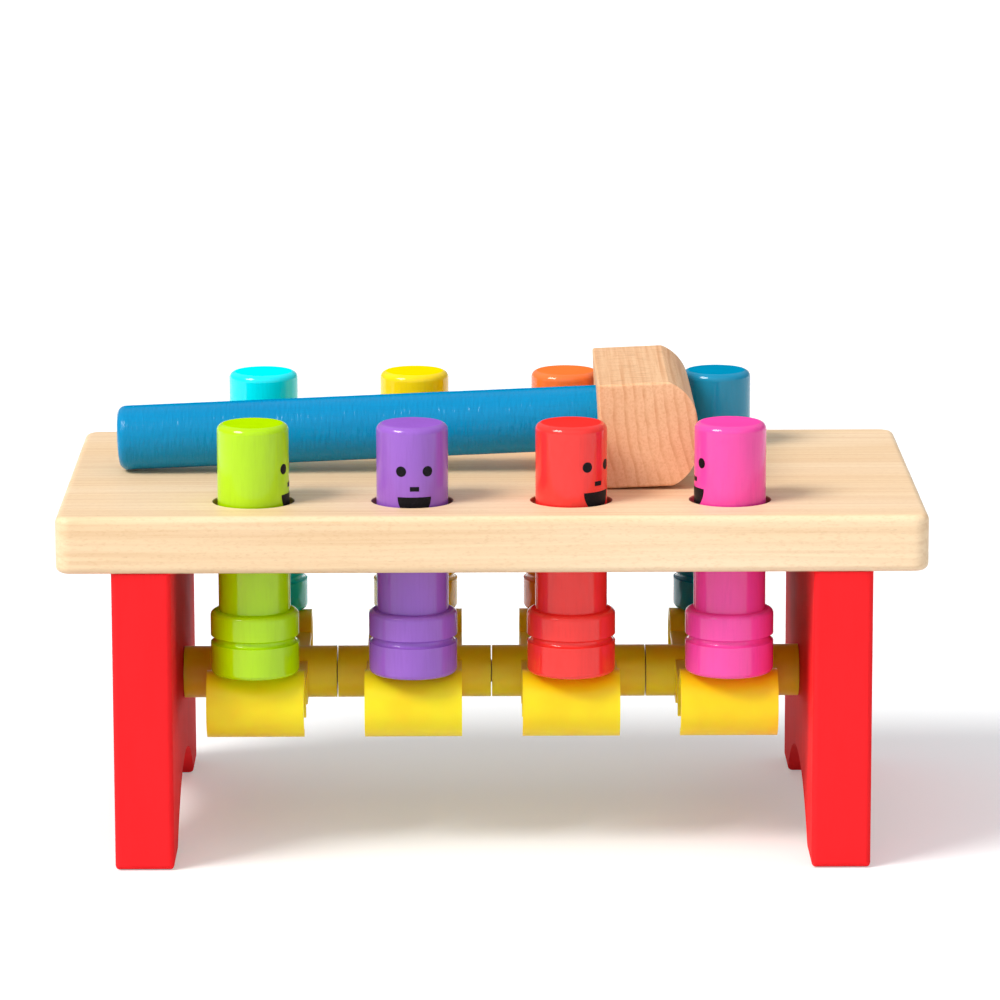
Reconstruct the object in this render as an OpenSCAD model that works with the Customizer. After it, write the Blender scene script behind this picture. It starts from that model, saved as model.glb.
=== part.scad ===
// Pounding bench: a wooden bench with two rows of captive pegs that rock in pairs, and a mallet.
// Millimetres. The origin is on the floor under the middle of the bench.
// +X runs along the bench, +Y to the rear and +Z up.

/* [Top board] */
// Depth of the top board from front to rear
top_w = 165; // [150:1:190]
// Thickness of the top board
top_t = 20; // [16:0.5:25]
// Radius of the board's four upright corners
top_corner_r = 5.5; // [5.5:0.5:16]
// Rounding of the board's upper and lower edges
top_edge_r = 2.5; // [1:0.25:5]

/* [End panels] */
// Height of the board's upper face above the floor
bench_h = 125; // [115:1:150]
// Thickness of each end panel
leg_t = 20.5; // [17:0.5:26]
// How far the board runs past each end panel
leg_overhang = 19; // [8:0.5:30]
// How far each end panel stands back from the board's front and rear edges
leg_setback = 1.5; // [0:0.25:8]
// Rounding of the end panels' edges
leg_edge_r = 2; // [0.5:0.25:4]
// Length of each foot along the floor, beside the arch
foot_l = 22; // [14:1:40]
// Height of the arch between the two feet
arch_rise = 22; // [8:1:28]

/* [Dowels] */
// Diameter of the dowels between the board and the end panels
dowel_d = 8; // [6:0.5:10]
// Number of dowels in each end panel
dowel_count = 3; // [2:1:4]
// Distance between neighbouring dowels
dowel_pitch = 48; // [30:1:50]
// Depth of each dowel in the board
dowel_top_depth = 12; // [8:0.5:14]
// Depth of each dowel in the end panel
dowel_leg_depth = 20; // [14:0.5:28]

/* [Pegs] */
// Diameter of the peg shaft
peg_d = 25; // [22:0.2:27]
// Gap between a peg shaft and the wall of its hole
peg_hole_gap = 1.6; // [0.8:0.1:2.4]
// Distance between neighbouring pegs in a row
peg_pitch = 55.2; // [50:0.2:60]
// Distance between the front and the rear row
row_spacing = 106; // [98:1:115]
// Height of the peg tops above the board with the rockers level
peg_rise = 27.5; // [22:0.5:40]
// Rounding of the peg's top edge
peg_top_r = 2.5; // [1:0.5:8]
// How far the foot stands out past the shaft
peg_foot_lip = 2.9; // [2.5:0.1:4]
// Height of the foot that keeps the peg in its hole
peg_foot_h = 22.5; // [16:0.5:30]
// Rounding of the foot's edges
peg_foot_r = 1.8; // [0.5:0.1:2.4]
// Radius of the groove turned round the foot
peg_groove_r = 1.3; // [0.5:0.1:2]
// Height of that groove above the underside of the foot
peg_groove_h = 12.5; // [6:0.5:16]
// Countersink at both mouths of a peg hole
hole_ease = 0.3; // [0.2:0.1:1.5]

/* [Rockers] */
// Height of the axle's centre above the floor
axle_h = 52; // [44:0.5:60]
// Diameter of the axle rod
axle_d = 8; // [6:0.5:10]
// Depth of the axle's blind socket in each end panel
axle_socket_depth = 12; // [6:0.5:15]
// Width of a rocker's bar along the axle
rocker_w = 34; // [28:0.5:40]
// Distance from the axle to the centre of each rounded lip
rocker_arm = 50; // [45:0.5:56]
// Radius of the lips that lift the pegs
lip_r = 11.75; // [9.75:0.25:13]
// Height of the bar's upper face above the axle's centre
bar_top = 5.5; // [4:0.25:6.5]
// Depth of the bar's lower edge below the axle's centre
bar_drop = 9.5; // [7:0.25:11]
// Outside diameter of the hub
hub_d = 18.5; // [15:0.5:22]
// Wall thickness of the moulding
rocker_wall = 2.4; // [1.6:0.1:3]
// How far the side webs stand in from the edges of the bar
web_inset = 2; // [0.8:0.1:3]

/* [Mallet] */
// Length of the head between its two striking faces
head_l = 79; // [60:1:84]
// Width of the head along the handle
head_w = 34.5; // [28:0.5:40]
// Height of the head
head_h = 37; // [32:0.5:44]
// Radius of the two rounds of the head's nose, away from the handle
head_nose_r = 16; // [10:0.5:17]
// Angle at which the nose's rounds leave the head's top and bottom
head_nose_angle = 23; // [10:1:35]
// Easing of the head's other edges
head_edge_r = 1; // [0.4:0.1:2]
// Diameter of the handle
handle_d = 23; // [18:0.5:26]
// Length of the handle outside the head
handle_l = 171; // [150:1:180]
// Rounding of the handle's free end
handle_end_r = 3; // [1:0.5:6]
// Diameter of the tenon in the head
tenon_d = 16; // [12:0.5:17]
// Length of the tenon in the head
tenon_l = 24; // [15:0.5:26]
// Gap between the head and the two rear pegs that it lies between
mallet_gap = 1; // [0.5:0.25:5]

/* [Hidden] */

$fn = 96;
// How far every cut runs past the face that it opens
overrun = 1;
// Clearance round a glued dowel or tenon
glue_gap = 0.05;
// Radial clearance of the hubs on the axle, and of the axle in its sockets
running_gap = 0.05;
// Clearance under a piece that rests loose on another
rest_gap = 0.3;
// Play between neighbouring hubs
hub_gap = 0.4;
// Play between the outer hubs and the end panels
hub_end_gap = 0.3;
// Play at each blind end of a dowel, the axle and the tenon
blind_gap = 0.5;

front = -1;
rear = 1;
left = -1;
right = 1;
// Rockers along the bench, each under one front and one rear peg
pairs = 4;

leg_w = top_w - 2 * leg_setback;
leg_h = bench_h - top_t;
// The end panels stand just outside the row of hubs, and the board runs past them
hub_l = peg_pitch - hub_gap;
inner_w = (pairs - 1) * peg_pitch + hub_l + 2 * hub_end_gap;
leg_x = (inner_w + leg_t) / 2;
top_l = inner_w + 2 * (leg_t + leg_overhang);
arch_half = leg_w / 2 - foot_l;
arch_r = (arch_half * arch_half + arch_rise * arch_rise) / (2 * arch_rise);

hole_r = peg_d / 2 + peg_hole_gap;
foot_r = peg_d / 2 + peg_foot_lip;
peg_z = axle_h + lip_r + rest_gap;
peg_l = bench_h + peg_rise - peg_z;

axle_hole_r = axle_d / 2 + running_gap;
pocket_start = hub_d / 2 + rocker_wall;
pocket_middle = (pocket_start + rocker_arm) / 2;
web_outer = rocker_w / 2 - web_inset;

// The mallet leans on the handle's end, with its head between the last two rear pegs
mallet_tilt = atan((head_h - handle_d) / 2 / handle_l);
head_lean = head_h / 2 * sin(mallet_tilt);
head_nose_rise = head_h / 2 - head_nose_r * cos(head_nose_angle);
head_reach = peg_d / 2 + mallet_gap;
head_side = (peg_pitch - head_w) / 2 - head_lean;
head_rear = row_spacing / 2 - sqrt(max(0, head_reach * head_reach - head_side * head_side));
mallet_x = pair_x(pairs - 1 / 2) - head_w / 2;
mallet_y = head_rear - head_l / 2;
mallet_z = bench_h + rest_gap + head_h / 2 * cos(mallet_tilt);

wood = [0.90, 0.77, 0.60];
beech = [0.87, 0.68, 0.49];
leg_red = [0.86, 0.05, 0.07];
moulded_yellow = [1.00, 0.80, 0.08];
handle_blue = [0.00, 0.50, 0.78];

// Distance of the numbered pair from the middle of the bench
function pair_x(number) = (number - (pairs + 1) / 2) * peg_pitch;

// Flat rectangle about the origin with round corners
module rounded_rect(size, r) {
    square([size.x - 2 * r, size.y], center = true);
    square([size.x, size.y - 2 * r], center = true);
    for (sx = [-1, 1], sy = [-1, 1])
        translate([sx * (size.x / 2 - r), sy * (size.y / 2 - r)])
            circle(r);
}

// Block about the origin with every edge rounded
module eased_block(size, r) {
    intersection() {
        linear_extrude(size.z, center = true)
            rounded_rect([size.x, size.y], r);
        rotate([90, 0, 0])
            linear_extrude(size.y, center = true)
                rounded_rect([size.x, size.z], r);
        rotate([90, 0, 90])
            linear_extrude(size.x, center = true)
                rounded_rect([size.y, size.z], r);
    }
}

// Places of one end panel's dowels, at the joint under the board
module at_dowels(side) {
    for (i = [0 : dowel_count - 1])
        translate([side * leg_x, (i - (dowel_count - 1) / 2) * dowel_pitch, leg_h])
            children();
}

// Holes for one end panel's dowels, across the joint
module dowel_holes(side) {
    at_dowels(side)
        translate([0, 0, -dowel_leg_depth - blind_gap])
            cylinder(r = dowel_d / 2 + glue_gap, h = dowel_leg_depth + dowel_top_depth + 2 * blind_gap);
}

// Places of all pegs on the floor plan
module at_pegs() {
    for (number = [1 : pairs], row = [front, rear])
        translate([pair_x(number), row * row_spacing / 2, 0])
            children();
}

// Quarter of a round puck with both rims rounded, for a corner of the board
module board_corner() {
    rotate_extrude(angle = 90) {
        square([top_corner_r - top_edge_r, top_t]);
        translate([0, top_edge_r])
            square([top_corner_r, top_t - 2 * top_edge_r]);
        for (z = [top_edge_r, top_t - top_edge_r])
            translate([top_corner_r - top_edge_r, z])
                circle(top_edge_r);
    }
}

// Board before its holes: two crossed prisms with rounded rims, and the four corners
module board_blank() {
    run_l = top_l - 2 * top_corner_r;
    run_w = top_w - 2 * top_corner_r;
    corners = [[1, 1], [-1, 1], [-1, -1], [1, -1]];
    translate([0, 0, top_t / 2]) {
        rotate([90, 0, 90])
            linear_extrude(run_l, center = true)
                rounded_rect([top_w, top_t], top_edge_r);
        rotate([90, 0, 0])
            linear_extrude(run_w, center = true)
                rounded_rect([top_l, top_t], top_edge_r);
    }
    for (turn = [0 : 3])
        translate([corners[turn].x * run_l / 2, corners[turn].y * run_w / 2, 0])
            rotate(turn * 90)
                board_corner();
}

// Hole for a peg, countersunk at both mouths
module peg_hole() {
    translate([0, 0, -overrun])
        cylinder(r = hole_r, h = top_t + 2 * overrun);
    translate([0, 0, top_t - hole_ease])
        cylinder(r1 = hole_r, r2 = hole_r + hole_ease + overrun, h = hole_ease + overrun);
    translate([0, 0, -overrun])
        cylinder(r1 = hole_r + hole_ease + overrun, r2 = hole_r, h = hole_ease + overrun);
}

module bench_top() {
    color(wood)
        difference() {
            translate([0, 0, leg_h])
                board_blank();
            translate([0, 0, leg_h])
                at_pegs() peg_hole();
            for (side = [left, right])
                dowel_holes(side);
        }
}

// End panel with an arch between its feet and a blind socket for the axle
module end_panel(side) {
    color(leg_red)
        difference() {
            translate([side * leg_x, 0, (leg_h + leg_edge_r) / 2])
                eased_block([leg_t, leg_w, leg_h + leg_edge_r], leg_edge_r);
            translate([side * leg_x, 0, leg_h + top_t / 2])
                cube([leg_t + 2 * overrun, leg_w + 2 * overrun, top_t], center = true);
            translate([side * leg_x, 0, arch_rise - arch_r])
                rotate([0, 90, 0])
                    cylinder(r = arch_r, h = leg_t + 2 * overrun, center = true);
            dowel_holes(side);
            translate([0, 0, axle_h])
                rotate([0, 90, 0])
                    cylinder(r = axle_hole_r, h = inner_w + 2 * axle_socket_depth, center = true);
        }
}

module leg_left() { end_panel(left); }
module leg_right() { end_panel(right); }

// Dowels that join one end panel to the board
module leg_dowels(side) {
    color(wood)
        at_dowels(side)
            translate([0, 0, -dowel_leg_depth])
                cylinder(d = dowel_d, h = dowel_leg_depth + dowel_top_depth);
}

module leg_dowels_left() { leg_dowels(left); }
module leg_dowels_right() { leg_dowels(right); }

module axle_rod() {
    color(wood)
        translate([0, 0, axle_h])
            rotate([0, 90, 0])
                cylinder(d = axle_d, h = inner_w + 2 * (axle_socket_depth - blind_gap), center = true);
}

// Side outline of a rocker: a bar with a round lip at each end
module rocker_outline() {
    translate([-rocker_arm, -bar_drop])
        square([2 * rocker_arm, bar_drop + bar_top]);
    for (end = [-1, 1])
        translate([end * rocker_arm, 0])
            circle(lip_r);
}

// Side outline of the pockets in one arm, open below and split by a cross rib
module arm_pockets() {
    pocket_l = pocket_middle - pocket_start - rocker_wall / 2;
    pocket_h = lip_r + overrun + bar_top - rocker_wall;
    for (y = [pocket_start, pocket_middle + rocker_wall / 2])
        translate([y, -lip_r - overrun])
            square([pocket_l, pocket_h]);
    translate([rocker_arm, 0])
        circle(lip_r - rocker_wall);
}

// Prism along the axle over a side outline, from one place to another
module along_axle(from, to) {
    translate([from, 0, 0])
        rotate([90, 0, 90])
            linear_extrude(to - from)
                children();
}

// Moulded see-saw: a skin over two side webs and a middle web, with a hub on the axle
module rocker(number) {
    bays = [
        [-rocker_w / 2 - overrun, -web_outer],
        [-web_outer + rocker_wall, -rocker_wall / 2],
        [rocker_wall / 2, web_outer - rocker_wall],
        [web_outer, rocker_w / 2 + overrun]
    ];
    color(moulded_yellow)
        translate([pair_x(number), 0, axle_h])
            difference() {
                union() {
                    along_axle(-rocker_w / 2, rocker_w / 2) rocker_outline();
                    rotate([0, 90, 0])
                        cylinder(d = hub_d, h = hub_l, center = true);
                }
                for (bay = bays, flip = [0, 1])
                    along_axle(bay[0], bay[1])
                        mirror([flip, 0])
                            arm_pockets();
                rotate([0, 90, 0])
                    cylinder(r = axle_hole_r, h = hub_l + 2 * overrun, center = true);
            }
}

module rocker_1() { rocker(1); }
module rocker_2() { rocker(2); }
module rocker_3() { rocker(3); }
module rocker_4() { rocker(4); }

// Half outline of a peg, from its foot up
module peg_outline() {
    difference() {
        union() {
            square([foot_r - peg_foot_r, peg_foot_h]);
            translate([0, peg_foot_r])
                square([foot_r, peg_foot_h - 2 * peg_foot_r]);
            for (z = [peg_foot_r, peg_foot_h - peg_foot_r])
                translate([foot_r - peg_foot_r, z])
                    circle(peg_foot_r);
        }
        translate([foot_r, peg_groove_h])
            circle(peg_groove_r);
    }
    square([peg_d / 2, peg_l - peg_top_r]);
    square([peg_d / 2 - peg_top_r, peg_l]);
    translate([peg_d / 2 - peg_top_r, peg_l - peg_top_r])
        circle(peg_top_r);
}

// Turned peg of one pair, standing on its rocker's lip
module peg(number, row) {
    translate([pair_x(number), row * row_spacing / 2, peg_z])
        rotate_extrude()
            peg_outline();
}

module peg_lime() { color([0.62, 0.80, 0.06]) peg(1, front); }
module peg_purple() { color([0.48, 0.24, 0.68]) peg(2, front); }
module peg_red() { color([0.94, 0.10, 0.13]) peg(3, front); }
module peg_pink() { color([0.95, 0.17, 0.58]) peg(4, front); }
module peg_cyan() { color([0.00, 0.75, 0.85]) peg(1, rear); }
module peg_yellow() { color([1.00, 0.78, 0.02]) peg(2, rear); }
module peg_orange() { color([0.95, 0.43, 0.13]) peg(3, rear); }
module peg_blue() { color([0.00, 0.48, 0.68]) peg(4, rear); }

// Places a mallet piece: X along the handle from the head's handle side
module in_mallet() {
    translate([mallet_x, mallet_y, mallet_z])
        rotate([0, -mallet_tilt, 0])
            children();
}

// Outline of the head seen on a striking face, with a broad round nose
module head_outline() {
    intersection() {
        translate([head_w / 2, 0])
            rounded_rect([head_w, head_h], head_edge_r);
        union() {
            translate([(head_w - head_nose_r) / 2, 0])
                square([head_w - head_nose_r, head_h], center = true);
            translate([head_w - head_nose_r / 2, 0])
                square([head_nose_r, 2 * head_nose_rise], center = true);
            for (end = [-1, 1])
                translate([head_w - head_nose_r, end * head_nose_rise])
                    circle(head_nose_r);
        }
    }
}

module mallet_head() {
    color(beech)
        in_mallet()
            difference() {
                intersection() {
                    rotate([90, 0, 0])
                        linear_extrude(head_l, center = true)
                            head_outline();
                    translate([head_w / 2, 0, 0])
                        eased_block([head_w, head_l, head_h], head_edge_r);
                }
                translate([-overrun, 0, 0])
                    rotate([0, 90, 0])
                        cylinder(r = tenon_d / 2 + glue_gap, h = tenon_l + blind_gap + overrun);
            }
}

// Half outline of the handle, from the tenon's end to the free end
module handle_outline() {
    square([tenon_d / 2, tenon_l + handle_l / 2]);
    translate([0, tenon_l])
        square([handle_d / 2, handle_l - handle_end_r]);
    translate([0, tenon_l])
        square([handle_d / 2 - handle_end_r, handle_l]);
    translate([handle_d / 2 - handle_end_r, tenon_l + handle_l - handle_end_r])
        circle(handle_end_r);
}

module mallet_handle() {
    color(handle_blue)
        in_mallet()
            translate([tenon_l, 0, 0])
                rotate([0, -90, 0])
                    rotate_extrude()
                        handle_outline();
}

bench_top();
leg_left();
leg_right();
leg_dowels_left();
leg_dowels_right();
axle_rod();
rocker_1();
rocker_2();
rocker_3();
rocker_4();
peg_lime();
peg_purple();
peg_red();
peg_pink();
peg_cyan();
peg_yellow();
peg_orange();
peg_blue();
mallet_head();
mallet_handle();
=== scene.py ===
import math

import bpy
from mathutils import Matrix, Vector


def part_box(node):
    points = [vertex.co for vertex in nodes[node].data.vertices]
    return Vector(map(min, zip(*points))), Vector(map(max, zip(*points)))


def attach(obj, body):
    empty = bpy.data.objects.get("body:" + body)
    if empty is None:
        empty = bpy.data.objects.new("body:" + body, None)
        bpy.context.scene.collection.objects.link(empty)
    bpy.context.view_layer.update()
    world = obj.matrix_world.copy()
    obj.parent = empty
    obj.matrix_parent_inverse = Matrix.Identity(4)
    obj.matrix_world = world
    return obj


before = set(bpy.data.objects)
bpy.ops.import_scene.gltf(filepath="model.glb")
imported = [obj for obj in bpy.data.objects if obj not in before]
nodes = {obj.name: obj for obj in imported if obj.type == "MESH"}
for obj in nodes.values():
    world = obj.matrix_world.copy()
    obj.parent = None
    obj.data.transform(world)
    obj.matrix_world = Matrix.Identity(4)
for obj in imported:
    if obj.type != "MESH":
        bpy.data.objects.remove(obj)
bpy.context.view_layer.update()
scene = bpy.context.scene
print("frame:", len(nodes), "solids")

cameraLook = {
    "place": (-0.0100, -1.8980, 0.4892),
    "pitch": 11.167,  # degrees down
    "yaw": 0.399,  # degrees to the right
    "roll": -0.124,
    "lens": 194.84,
    "sensor": 36.0,
}


def makeCamera(look):
    pitch, yaw, roll = (math.radians(look[key]) for key in ("pitch", "yaw", "roll"))
    ahead = Vector((math.sin(yaw) * math.cos(pitch), math.cos(yaw) * math.cos(pitch), -math.sin(pitch)))
    right = Vector((math.cos(yaw), -math.sin(yaw), 0.0))
    up = right.cross(ahead)
    across = right * math.cos(roll) + up * math.sin(roll)
    upright = up * math.cos(roll) - right * math.sin(roll)
    data = bpy.data.cameras.new("camera")
    data.lens, data.sensor_width = look["lens"], look["sensor"]
    camera = bpy.data.objects.new("camera", data)
    turned = Matrix((across, upright, -ahead)).transposed().to_4x4()
    camera.matrix_world = Matrix.Translation(look["place"]) @ turned
    scene.collection.objects.link(camera)
    scene.camera = camera


makeCamera(cameraLook)
print("camera set")


def colourOf(red, green, blue):  # screen values, 0 to 255, to linear light
    parts = [value / 255 for value in (red, green, blue)]
    linear = [part / 12.92 if part <= 0.04045 else ((part + 0.055) / 1.055) ** 2.4 for part in parts]
    return (*linear, 1.0)


def deeper(colour, share):  # the same hue with less light in it
    return (*(value * share for value in colour[:3]), 1.0)


def addNode(tree, kind, inputs=None, **settings):
    node = tree.nodes.new(kind)
    for name, value in settings.items():
        setattr(node, name, value)
    for key, value in (inputs or {}).items():
        if isinstance(value, bpy.types.NodeSocket):
            tree.links.new(value, node.inputs[key])
        else:
            node.inputs[key].default_value = value
    return node


def calc(tree, operation, *values):
    return addNode(tree, "ShaderNodeMath", dict(enumerate(values)), operation=operation).outputs[0]


def span(tree, value, low, high, toLow=0.0, toHigh=1.0):  # soft step from low to high
    inputs = {"Value": value, "From Min": low, "From Max": high, "To Min": toLow, "To Max": toHigh}
    return addNode(tree, "ShaderNodeMapRange", inputs, interpolation_type="SMOOTHSTEP").outputs[0]


def blend(tree, factor, first, second):
    node = addNode(tree, "ShaderNodeMix", {0: factor, 6: first, 7: second}, data_type="RGBA")
    return node.outputs[2]


def blendValue(tree, share, first, second):
    return addNode(tree, "ShaderNodeMix", {0: share, 2: first, 3: second}).outputs[0]


def noise(tree, coords, scale, detail=2.0, offset=(0.0, 0.0, 0.0)):  # scale: cells per metre along x, y, z
    moved = addNode(tree, "ShaderNodeMapping", {"Vector": coords, "Scale": scale, "Location": offset})
    inputs = {"Vector": moved.outputs[0], "Scale": 1.0, "Detail": detail, "Roughness": 0.55}
    return addNode(tree, "ShaderNodeTexNoise", inputs).outputs[0]


def alongGrain(grain, along, across):  # a triple with one value on the grain's axis
    return tuple(along if axis == grain else across for axis in range(3))


def newFinish(name):
    finish = bpy.data.materials.new(name)
    finish.use_nodes = True
    tree = finish.node_tree
    tree.nodes.clear()
    skin = addNode(tree, "ShaderNodeBsdfPrincipled")
    out = addNode(tree, "ShaderNodeOutputMaterial")
    tree.links.new(skin.outputs[0], out.inputs["Surface"])
    coords = addNode(tree, "ShaderNodeTexCoord").outputs["Object"]
    return finish, tree, skin, coords


def dress(tree, skin, colour, rough, height, relief):  # colour, roughness and relief into the shader
    tree.links.new(colour, skin.inputs["Base Color"])
    tree.links.new(rough, skin.inputs["Roughness"])
    bump = addNode(tree, "ShaderNodeBump", {"Height": height, "Strength": 1.0, "Distance": relief})
    tree.links.new(bump.outputs[0], skin.inputs["Normal"])


def levelness(tree):  # 1 on level faces, 0 on upright ones
    facing = addNode(tree, "ShaderNodeTexCoord").outputs["Normal"]
    return calc(tree, "ABSOLUTE", addNode(tree, "ShaderNodeSeparateXYZ", {0: facing}).outputs[2])


woodSteps = {  # where each pattern of the wood starts and ends, on its own scale from 0 to 1
    "lateEnd": 0.92,
    "lateDrop": (0.93, 1.0),
    "fade": (0.35, 0.65),
    "fadeLeast": 0.35,
    "tone": (0.30, 0.72),
    "fibre": (0.40, 0.75),
    "fibreDetail": 5.0,
    "fibreHeight": 0.6,
    "speck": (0.50, 0.72),
    "speckDetail": 2.0,
    "speckOffset": (1.3, 4.1, 2.7),
    "poreWidth": 0.10,
    "poreDetail": 1.0,
    "poreOffset": (3.1, 1.7, 5.3),
    "poreHeight": 0.5,
    "level": (0.4, 0.9),
}


def makeWood(name, look):
    finish, tree, skin, coords = newFinish(name)
    steps = woodSteps
    grain = look["grain"]
    level = levelness(tree)
    drift = noise(tree, coords, alongGrain(grain, *look["driftScale"]))
    drift = calc(tree, "MULTIPLY", calc(tree, "SUBTRACT", drift, 0.5), look["drift"])
    flat = addNode(tree, "ShaderNodeMapping", {
        "Vector": coords,
        "Location": tuple(-value for value in look["pith"]),
        "Scale": alongGrain(grain, 0.0, 1.0),
    })
    reach = addNode(tree, "ShaderNodeVectorMath", {0: flat.outputs[0]}, operation="LENGTH").outputs["Value"]
    rings = calc(tree, "FRACT", calc(tree, "DIVIDE", calc(tree, "ADD", reach, drift), look["ring"]))
    lateRise = span(tree, rings, look["lateFrom"], steps["lateEnd"])
    lateDrop = span(tree, rings, *steps["lateDrop"], 1.0, 0.0)
    late = calc(tree, "MULTIPLY", lateRise, lateDrop)
    patches = noise(tree, coords, alongGrain(grain, *look["fadeScale"]))
    fade = span(tree, patches, *steps["fade"], steps["fadeLeast"], 1.0)
    late = calc(tree, "MULTIPLY", late, fade)
    tone = span(tree, noise(tree, coords, alongGrain(grain, *look["toneScale"])), *steps["tone"])
    fibre = noise(tree, coords, alongGrain(grain, *look["fibreScale"]), steps["fibreDetail"])
    speck = noise(tree, coords, look["speckScale"], steps["speckDetail"], steps["speckOffset"])
    pore = noise(tree, coords, look["poreScale"], steps["poreDetail"], steps["poreOffset"])
    pores = span(tree, pore, look["poreFrom"], look["poreFrom"] + steps["poreWidth"])
    pores = calc(tree, "MULTIPLY", pores, span(tree, level, *steps["level"], look["poreSide"], 1.0))
    colour = blend(tree, calc(tree, "MULTIPLY", tone, look["toneDepth"]), look["pale"], look["warm"])
    colour = blend(tree, calc(tree, "MULTIPLY", late, look["ringDepth"]), colour, look["line"])
    threads = calc(tree, "MULTIPLY", span(tree, fibre, *steps["fibre"]), look["fibreDepth"])
    colour = blend(tree, threads, colour, look["line"])
    specks = calc(tree, "MULTIPLY", span(tree, speck, *steps["speck"]), look["speckDepth"])
    colour = blend(tree, specks, colour, look["line"])
    colour = blend(tree, calc(tree, "MULTIPLY", pores, look["poreDepth"]), colour, look["pore"])
    rough = calc(tree, "ADD", look["rough"], calc(tree, "MULTIPLY", fibre, look["roughSpread"]))
    raised = calc(tree, "MULTIPLY", fibre, steps["fibreHeight"])
    height = calc(tree, "SUBTRACT", raised, calc(tree, "MULTIPLY", pores, steps["poreHeight"]))
    # painted shade: a darker colour laid on the walls of the peg holes
    if "boreShadeColour" in look:
        boreShade = calc(tree, "MULTIPLY", paintedBoreShade(tree, coords, look), look["boreShadeDepth"])
        colour = blend(tree, boreShade, colour, look["boreShadeColour"])
    dress(tree, skin, colour, rough, height, look["relief"])
    skin.inputs["Specular IOR Level"].default_value = look["shine"]
    return finish


def paintedBoreShade(tree, coords, look):  # 1 inside the peg holes, where shade is painted, 0 on the board's faces
    x, y = addNode(tree, "ShaderNodeSeparateXYZ", {0: coords}).outputs[:2]
    across = calc(tree, "SUBTRACT", calc(tree, "FRACT", calc(tree, "DIVIDE", x, look["borePitch"])), 0.5)
    across = calc(tree, "MULTIPLY", across, look["borePitch"])
    along = calc(tree, "SUBTRACT", calc(tree, "ABSOLUTE", y), look["boreRow"])
    place = addNode(tree, "ShaderNodeCombineXYZ", {0: across, 1: along}).outputs[0]
    reach = addNode(tree, "ShaderNodeVectorMath", {0: place}, operation="LENGTH").outputs["Value"]
    inside = calc(tree, "LESS_THAN", reach, look["boreReach"])
    rowEnd = look["boreColumns"] * look["borePitch"] / 2
    inRow = calc(tree, "LESS_THAN", calc(tree, "ABSOLUTE", x), rowEnd)
    return calc(tree, "MULTIPLY", inside, inRow)


def makePaint(name, look):
    finish, tree, skin, coords = newFinish(name)
    grain = look["grain"]
    streak = noise(tree, coords, alongGrain(grain, *look["streakScale"]), look["streakDetail"])
    cloud = noise(tree, coords, alongGrain(grain, *look["cloudScale"]))
    peel = noise(tree, coords, look["peelScale"], look["peelDetail"])
    thin = calc(tree, "MULTIPLY", span(tree, streak, *look["streakSpan"]), look["streakDepth"])
    colour = blend(tree, thin, look["colour"], deeper(look["colour"], look["deep"]))
    cover = calc(tree, "MULTIPLY", span(tree, cloud, *look["cloudSpan"]), look["cloudDepth"])
    colour = blend(tree, cover, colour, deeper(look["colour"], look["deep"]))
    rough = calc(tree, "ADD", look["rough"], calc(tree, "MULTIPLY", streak, look["roughSpread"]))
    height = blendValue(tree, look["peelShare"], streak, peel)
    dress(tree, skin, colour, rough, height, look["relief"])
    skin.inputs["Specular IOR Level"].default_value = look["shine"]
    shine = span(tree, levelness(tree), *look["topSpan"], look["shine"], look["topShine"])
    tree.links.new(shine, skin.inputs["Specular IOR Level"])
    return finish


def finishNode(name, finish):  # new finish on a solid that keeps its shape
    for slot in nodes[name].material_slots:
        slot.material = finish


def middle(name):  # of a solid's box
    low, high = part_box(name)
    return (low + high) / 2


boardLook = {  # pale hardwood, grain along the bench
    "grain": 0,
    "pale": colourOf(246, 219, 184),
    "warm": colourOf(238, 204, 160),
    "line": colourOf(212, 165, 116),
    "pore": colourOf(160, 112, 76),
    "pith": (0.0, 0.030, -0.060),
    "ring": 0.0052,
    "ringDepth": 0.16,
    "lateFrom": 0.35,
    "fadeScale": (6.0, 90.0),
    "drift": 0.016,
    "driftScale": (4.0, 40.0),
    "toneScale": (4.0, 40.0),
    "toneDepth": 0.75,
    "fibreScale": (6.0, 480.0),
    "fibreDepth": 0.42,
    "speckScale": (500.0, 1500.0, 1500.0),
    "speckDepth": 0.22,
    "poreScale": (330.0, 2600.0, 2600.0),
    "poreFrom": 0.67,
    "poreDepth": 0.22,
    "poreSide": 0.7,  # share of them on upright faces
    "rough": 0.40,
    "roughSpread": 0.12,
    "relief": 0.00003,
    "shine": 0.42,
}
boreShadeLook = {  # painted shade: the walls of the peg holes are painted darker
    "boreShadeColour": colourOf(150, 100, 68),
    "boreShadeDepth": 0.85,
    "boreReach": 0.0143,
    "boreColumns": 4,
    "borePitch": middle("peg_purple").x - middle("peg_lime").x,
    "boreRow": middle("peg_cyan").y,
}
finishNode("bench_top", makeWood("boardWood", dict(boardLook, **boreShadeLook)))

dowelLook = dict(boardLook, warm=colourOf(220, 182, 138), pith=(0.0, 0.01, 0.01), shine=0.2)
dowelWood = makeWood("dowelWood", dowelLook)
for node in ("leg_dowels_left", "leg_dowels_right", "axle_rod"):
    finishNode(node, dowelWood)

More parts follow.
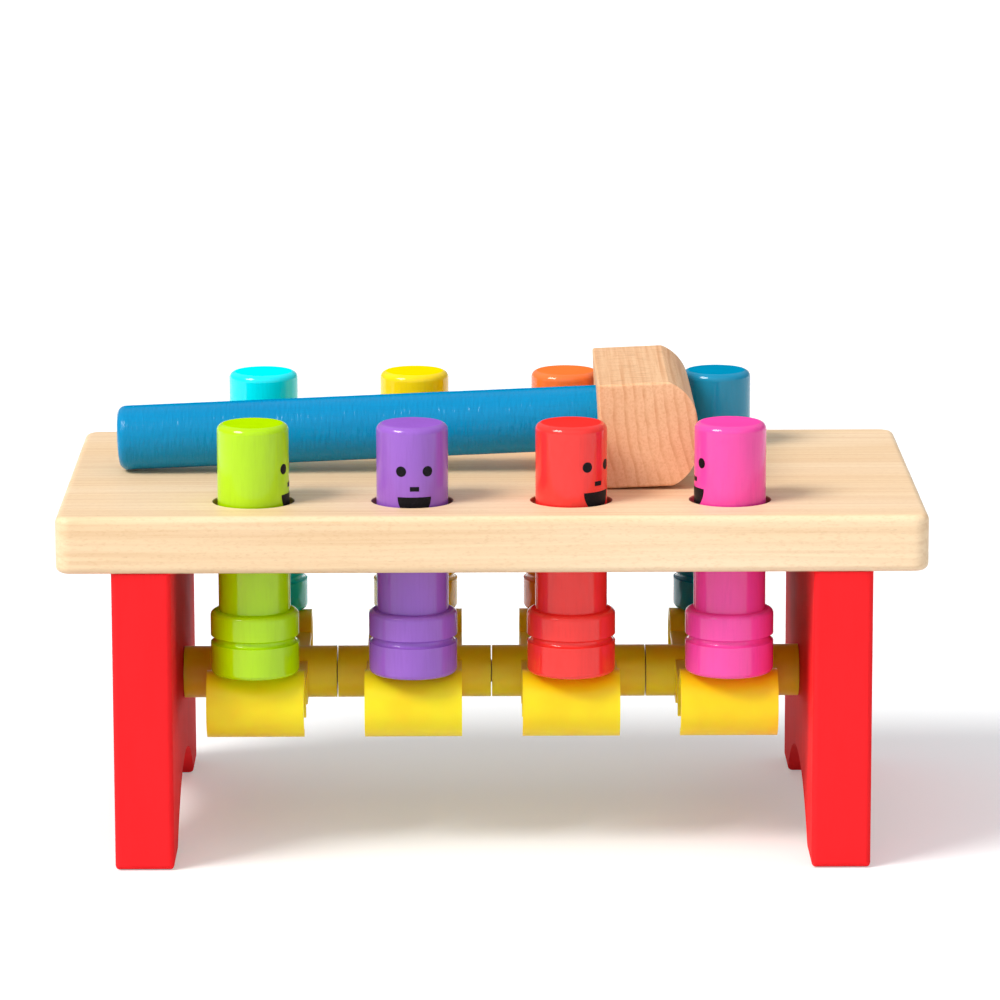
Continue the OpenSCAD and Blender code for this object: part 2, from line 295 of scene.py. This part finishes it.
headLook = {  # beech, grain along the head, growth lines upright on its striking faces
    "grain": 1,
    "pale": colourOf(238, 194, 152),
    "warm": colourOf(228, 178, 134),
    "line": colourOf(204, 138, 90),
    "pore": colourOf(165, 108, 68),
    "pith": (0.215, 0.0, 0.172),
    "ring": 0.0037,
    "ringDepth": 0.50,
    "lateFrom": 0.50,
    "fadeScale": (8.0, 130.0),
    "drift": 0.0042,
    "driftScale": (7.0, 55.0),
    "toneScale": (10.0, 60.0),
    "toneDepth": 0.5,
    "fibreScale": (25.0, 1000.0),
    "fibreDepth": 0.36,
    "speckScale": (2200.0, 700.0, 2200.0),
    "speckDepth": 0.24,
    "poreScale": (120.0, 1500.0, 1500.0),
    "poreFrom": 0.56,
    "poreDepth": 0.36,
    "poreSide": 0.04,
    "rough": 0.50,
    "roughSpread": 0.15,
    "relief": 0.00005,
    "shine": 0.25,
}
finishNode("mallet_head", makeWood("headWood", headLook))
print("bare wood done")

paintLook = {  # colour on wood whose grain still shows a little
    "grain": 2,
    "streakScale": (100.0, 1200.0),
    "streakDetail": 3.0,
    "streakSpan": (0.42, 0.78),
    "streakDepth": 0.32,
    "deep": 0.80,
    "cloudScale": (25.0, 90.0),
    "cloudSpan": (0.35, 0.70),
    "cloudDepth": 0.30,
    "peelScale": (900.0, 900.0, 900.0),
    "peelDetail": 1.0,
    "peelShare": 0.3,
    "rough": 0.10,
    "roughSpread": 0.05,
    "relief": 0.000012,
    "shine": 0.46,
    "topShine": 0.0,  # level faces are matte
    "topSpan": (0.93, 0.99),
}


def paint(name, colour, **changes):
    return makePaint(name, dict(paintLook, colour=colour, **changes))


legLook = {"colour": colourOf(250, 36, 42), "rough": 0.66, "shine": 0.10}
legPaint = paint("legPaint", **legLook)
for node in ("leg_left", "leg_right"):
    finishNode(node, legPaint)

handleLook = {
    "colour": colourOf(0, 136, 192),
    "grain": 0,
    "rough": 0.14,
    "shine": 0.20,
    "peelScale": (1000.0, 220.0, 220.0),  # fine marks round the rod
    "peelShare": 0.85,
    "relief": 0.00034,
}
finishNode("mallet_handle", paint("handlePaint", **handleLook))

pegLooks = {  # paint, the face's turn in degrees right of the front, and its lift in metres
    "lime": {"colour": colourOf(177, 225, 0), "turn": 81.0},
    "purple": {"colour": colourOf(151, 95, 201), "turn": 4.0},
    "red": {"colour": colourOf(248, 52, 48), "turn": 47.0, "up": 0.0011},
    "pink": {"colour": colourOf(247, 74, 170), "turn": -77.0, "up": 0.0017},
    "cyan": {"colour": colourOf(0, 238, 252), "turn": -40.0},
    "yellow": {"colour": colourOf(253, 220, 0), "turn": 15.0},
    "orange": {"colour": colourOf(248, 122, 56), "turn": -10.0},
    "blue": {"colour": colourOf(0, 140, 184), "turn": 162.0},
}
for hue, look in pegLooks.items():
    finishNode("peg_" + hue, paint(hue + "Paint", look["colour"]))
print("paint done")

rockerLook = {
    "colour": colourOf(255, 228, 20),
    "shade": colourOf(255, 216, 10),
    "cloudScale": (40.0, 40.0, 40.0),
    "cloudSpan": (0.35, 0.70),
    "skinScale": (2600.0, 2600.0, 2600.0),
    "skinDetail": 1.0,
    "rough": 0.30,
    "roughSpread": 0.10,
    "relief": 0.000008,
    "shine": 0.35,
    "glow": 0.35,
    "glowReach": 0.006,
}


def makePlastic(name, look):
    finish, tree, skin, coords = newFinish(name)
    cloud = span(tree, noise(tree, coords, look["cloudScale"]), *look["cloudSpan"])
    grit = noise(tree, coords, look["skinScale"], look["skinDetail"])
    colour = blend(tree, cloud, look["colour"], look["shade"])
    rough = calc(tree, "ADD", look["rough"], calc(tree, "MULTIPLY", grit, look["roughSpread"]))
    dress(tree, skin, colour, rough, grit, look["relief"])
    skin.inputs["Specular IOR Level"].default_value = look["shine"]
    skin.inputs["Subsurface Weight"].default_value = look["glow"]
    skin.inputs["Subsurface Scale"].default_value = look["glowReach"]
    return finish


rockerPlastic = makePlastic("rockerPlastic", rockerLook)
for node in ("rocker_1", "rocker_2", "rocker_3", "rocker_4"):
    finishNode(node, rockerPlastic)
print("plastic done")

faceLook = {  # printed face, in metres; drops are measured from the peg's top
    "Eye Size": 0.00365,
    "Eye Spread": 0.0094,
    "Eye Drop": 0.0151,
    "Nose Width": 0.0032,
    "Nose Height": 0.0016,
    "Nose Drop": 0.0212,
    "Mouth Width": 0.0120,
    "Mouth Depth": 0.0070,
    "Mouth Drop": 0.0241,
    "Ink": 0.00008,
    "Sink": 0.00003,
}
inkLook = {
    "colour": colourOf(10, 9, 16),
    "faded": colourOf(34, 30, 40),
    "scale": (1500.0, 1500.0, 1500.0),
    "detail": 3.0,
    "speckSpan": (0.50, 0.80),
    "rough": 0.40,
    "roughSpread": 0.1,
    "relief": 0.000004,
    "shine": 0.15,
}
faceGrids = {"eye": (49, 8), "nose": (13, 7), "mouth": (41, 17)}  # columns and rows of points
weldReach = 0.000001
sharpAngle = 40.0  # degrees past which an edge stays sharp
shaftRadius = 0.0125  # of a peg above its foot
pegPlace = ("Peg Radius", "Peg X", "Peg Y", "Peg Top", "Turn")


def makeInk(look):
    finish, tree, skin, coords = newFinish("faceInk")
    speck = noise(tree, coords, look["scale"], look["detail"])
    colour = blend(tree, span(tree, speck, *look["speckSpan"]), look["colour"], look["faded"])
    rough = calc(tree, "ADD", look["rough"], calc(tree, "MULTIPLY", speck, look["roughSpread"]))
    dress(tree, skin, colour, rough, speck, look["relief"])
    skin.inputs["Specular IOR Level"].default_value = look["shine"]
    return finish


def spot(tree):  # x, y and z of the points being moved
    place = addNode(tree, "GeometryNodeInputPosition").outputs[0]
    return addNode(tree, "ShaderNodeSeparateXYZ", {0: place}).outputs


def moved(tree, mesh, x, y, z=0.0):
    place = addNode(tree, "ShaderNodeCombineXYZ", {0: x, 1: y, 2: z}).outputs[0]
    return addNode(tree, "GeometryNodeSetPosition", {"Geometry": mesh, "Position": place}).outputs[0]


def grid(tree, sizeX, sizeY, columns, rows):
    inputs = {"Size X": sizeX, "Size Y": sizeY, "Vertices X": columns, "Vertices Y": rows}
    return addNode(tree, "GeometryNodeMeshGrid", inputs).outputs[0]


def welded(tree, mesh):
    return addNode(tree, "GeometryNodeMergeByDistance", {"Geometry": mesh, "Distance": weldReach}).outputs[0]


def joined(tree, *meshes):
    node = addNode(tree, "GeometryNodeJoinGeometry")
    for mesh in meshes:
        tree.links.new(mesh, node.inputs[0])
    return node.outputs[0]


def buildFaceTree():
    tree = bpy.data.node_groups.new("pegFace", "GeometryNodeTree")
    for name in (*pegPlace, *faceLook):
        tree.interface.new_socket(name=name, in_out="INPUT", socket_type="NodeSocketFloat")
    tree.interface.new_socket(name="Ink Finish", in_out="INPUT", socket_type="NodeSocketMaterial")
    tree.interface.new_socket(name="Face", in_out="OUTPUT", socket_type="NodeSocketGeometry")
    given = addNode(tree, "NodeGroupInput").outputs

    x, y = spot(tree)[:2]  # an eye: a grid rolled into a disc
    around = calc(tree, "MULTIPLY", calc(tree, "ADD", x, 0.5), -2 * math.pi)
    out = calc(tree, "MULTIPLY", calc(tree, "ADD", y, 0.5), calc(tree, "DIVIDE", given["Eye Size"], 2.0))
    eyeX = calc(tree, "MULTIPLY", out, calc(tree, "COSINE", around))
    eyeY = calc(tree, "MULTIPLY", out, calc(tree, "SINE", around))
    eyeFlat = grid(tree, 1.0, 1.0, *faceGrids["eye"])
    eye = welded(tree, moved(tree, eyeFlat, eyeX, eyeY))
    half = calc(tree, "DIVIDE", given["Eye Spread"], -2.0)
    drop = calc(tree, "MULTIPLY", given["Eye Drop"], -1.0)
    start = addNode(tree, "ShaderNodeCombineXYZ", {0: half, 1: drop}).outputs[0]
    step = addNode(tree, "ShaderNodeCombineXYZ", {0: given["Eye Spread"]}).outputs[0]
    pair = addNode(tree, "GeometryNodeMeshLine", {"Count": 2, "Start Location": start, "Offset": step})
    eyes = addNode(tree, "GeometryNodeInstanceOnPoints", {"Points": pair.outputs[0], "Instance": eye})
    eyes = addNode(tree, "GeometryNodeRealizeInstances", {0: eyes.outputs[0]}).outputs[0]

    x, y = spot(tree)[:2]  # the nose: a short bar
    noseY = calc(tree, "SUBTRACT", y, given["Nose Drop"])
    noseFlat = grid(tree, given["Nose Width"], given["Nose Height"], *faceGrids["nose"])
    nose = moved(tree, noseFlat, x, noseY)

    x, y = spot(tree)[:2]  # the mouth: flat above, half an ellipse below
    fall = calc(tree, "MULTIPLY", calc(tree, "SUBTRACT", 0.5, y), math.pi / 2)
    wide = calc(tree, "MULTIPLY", given["Mouth Width"], calc(tree, "COSINE", fall))
    deep = calc(tree, "MULTIPLY", given["Mouth Depth"], calc(tree, "SINE", fall))
    mouthY = calc(tree, "MULTIPLY", calc(tree, "ADD", deep, given["Mouth Drop"]), -1.0)
    mouthFlat = grid(tree, 1.0, 1.0, *faceGrids["mouth"])
    mouth = welded(tree, moved(tree, mouthFlat, calc(tree, "MULTIPLY", x, wide), mouthY))

    flat = joined(tree, eyes, nose, mouth)
    inputs = {"Mesh": flat, "Offset Scale": given["Ink"], "Individual": False}
    raised = addNode(tree, "GeometryNodeExtrudeMesh", inputs, mode="FACES").outputs[0]
    under = addNode(tree, "GeometryNodeFlipFaces", {"Mesh": flat}).outputs[0]
    inked = welded(tree, joined(tree, raised, under))

    x, y, z = spot(tree)  # laid round the peg
    angle = calc(tree, "ADD", given["Turn"], calc(tree, "DIVIDE", x, given["Peg Radius"]))
    radius = calc(tree, "ADD", calc(tree, "SUBTRACT", given["Peg Radius"], given["Sink"]), z)
    aside = calc(tree, "MULTIPLY", radius, calc(tree, "SINE", angle))
    forward = calc(tree, "MULTIPLY", radius, calc(tree, "COSINE", angle))
    wrapX = calc(tree, "ADD", given["Peg X"], aside)
    wrapY = calc(tree, "SUBTRACT", given["Peg Y"], forward)
    wrapped = moved(tree, inked, wrapX, wrapY, calc(tree, "ADD", given["Peg Top"], y))
    whole = addNode(tree, "GeometryNodeRealizeInstances", {0: wrapped}).outputs[0]
    printed = addNode(tree, "GeometryNodeSetMaterial", {"Geometry": whole, "Material": given["Ink Finish"]})
    addNode(tree, "NodeGroupOutput", {0: printed.outputs[0]})
    return tree


def printFace(hue, look, tree, ink):
    centre = middle("peg_" + hue)
    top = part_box("peg_" + hue)[1].z + look.get("up", 0.0)
    values = dict(faceLook)
    values.update(zip(pegPlace, (shaftRadius, centre.x, centre.y, top, math.radians(look["turn"]))))
    values["Ink Finish"] = ink
    face = bpy.data.objects.new("face_" + hue, bpy.data.meshes.new("face_" + hue))
    scene.collection.objects.link(face)
    layer = face.modifiers.new("pegFace", "NODES")
    layer.node_group = tree
    for item in tree.interface.items_tree:
        if item.in_out == "INPUT":
            layer[item.identifier] = values[item.name]
    bpy.context.view_layer.update()
    graph = bpy.context.evaluated_depsgraph_get()
    plain = bpy.data.meshes.new_from_object(face.evaluated_get(graph))
    face.modifiers.clear()
    face.data = plain
    plain.shade_smooth()
    plain.set_sharp_from_angle(angle=math.radians(sharpAngle))
    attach(face, "peg_" + hue)


faceTree = buildFaceTree()
faceInk = makeInk(inkLook)
for hue, look in pegLooks.items():
    printFace(hue, look, faceTree, faceInk)
print("faces printed:", len(pegLooks))

floorLook = {
    "under": -0.0002,  # just below the feet
    "flat": 8.0,  # radius of the level floor
    "rim": 20.0,
    "rise": 1.3,  # the far floor curves up into a low backdrop
    "sides": 96,
    "steps": 12,
    "colour": (0.72, 0.75, 0.78, 1.0),
    "lift": 0.28,  # added where the floor is seen, so that the open floor is white
}


def makeFloor(look):
    sides, steps = look["sides"], look["steps"]
    corners, faces = [], [tuple(range(sides))]
    for step in range(steps + 1):
        part = step / steps
        radius = look["flat"] + (look["rim"] - look["flat"]) * part
        height = look["under"] + look["rise"] * part ** 2
        for side in range(sides):
            angle = 2 * math.pi * side / sides
            corners.append((radius * math.cos(angle), radius * math.sin(angle), height))
    for step in range(steps):
        for side in range(sides):
            first, second = step * sides + side, step * sides + (side + 1) % sides
            faces.append((first, first + sides, second + sides, second))
    mesh = bpy.data.meshes.new("floor")
    mesh.from_pydata(corners, [], faces)
    mesh.shade_smooth()
    floor = bpy.data.objects.new("floor", mesh)
    scene.collection.objects.link(floor)
    mesh.materials.append(makePaper(look))


def makePaper(look):
    finish = bpy.data.materials.new("floorPaper")
    finish.use_nodes = True
    tree = finish.node_tree
    tree.nodes.clear()
    paper = addNode(tree, "ShaderNodeBsdfDiffuse", {"Color": look["colour"]})
    path = addNode(tree, "ShaderNodeLightPath").outputs
    seen = calc(tree, "MAXIMUM", path["Is Camera Ray"], path["Is Glossy Ray"])
    seen = calc(tree, "MAXIMUM", seen, path["Is Transmission Ray"])
    lift = addNode(tree, "ShaderNodeEmission", {"Strength": calc(tree, "MULTIPLY", seen, look["lift"])})
    both = addNode(tree, "ShaderNodeAddShader", {0: paper.outputs[0], 1: lift.outputs[0]})
    addNode(tree, "ShaderNodeOutputMaterial", {"Surface": both.outputs[0]})
    return finish


makeFloor(floorLook)

lightLook = {
    "overhead": 0.58,  # sky, brighter above than at the horizon
    "horizon": 0.28,
    "skySpan": (0.12, 0.85),  # heights between which it brightens
    "front": 0.52,  # soft fill from the front
    "frontSpan": (0.0, -0.9),
    "tint": (0.975, 0.99, 1.0, 1.0),
    "from": (-0.60, -0.36, 0.71),  # main light: left, front, above
    "colour": (1.0, 0.955, 0.89),
    "strength": 2.85,
    "softness": 26.0,  # degrees across
}


def makeLights(look):
    data = bpy.data.lights.new("mainLight", "SUN")
    data.energy, data.angle = look["strength"], math.radians(look["softness"])
    data.color = look["colour"]
    lamp = bpy.data.objects.new("mainLight", data)
    lamp.rotation_euler = Vector(look["from"]).to_track_quat("Z", "Y").to_euler()
    scene.collection.objects.link(lamp)
    world = bpy.data.worlds.new("studio")
    world.use_nodes = True
    tree = world.node_tree
    tree.nodes.clear()
    way = addNode(tree, "ShaderNodeTexCoord").outputs["Generated"]
    depth, height = addNode(tree, "ShaderNodeSeparateXYZ", {0: way}).outputs[1:]
    above = span(tree, height, *look["skySpan"], look["horizon"], look["overhead"])
    ahead = span(tree, depth, *look["frontSpan"], 0.0, look["front"])
    strength = calc(tree, "ADD", above, ahead)
    sky = addNode(tree, "ShaderNodeBackground", {"Color": look["tint"], "Strength": strength})
    addNode(tree, "ShaderNodeOutputWorld", {"Surface": sky.outputs[0]})
    scene.world = world


makeLights(lightLook)
scene.view_settings.view_transform = "Standard"
print("floor and light set")
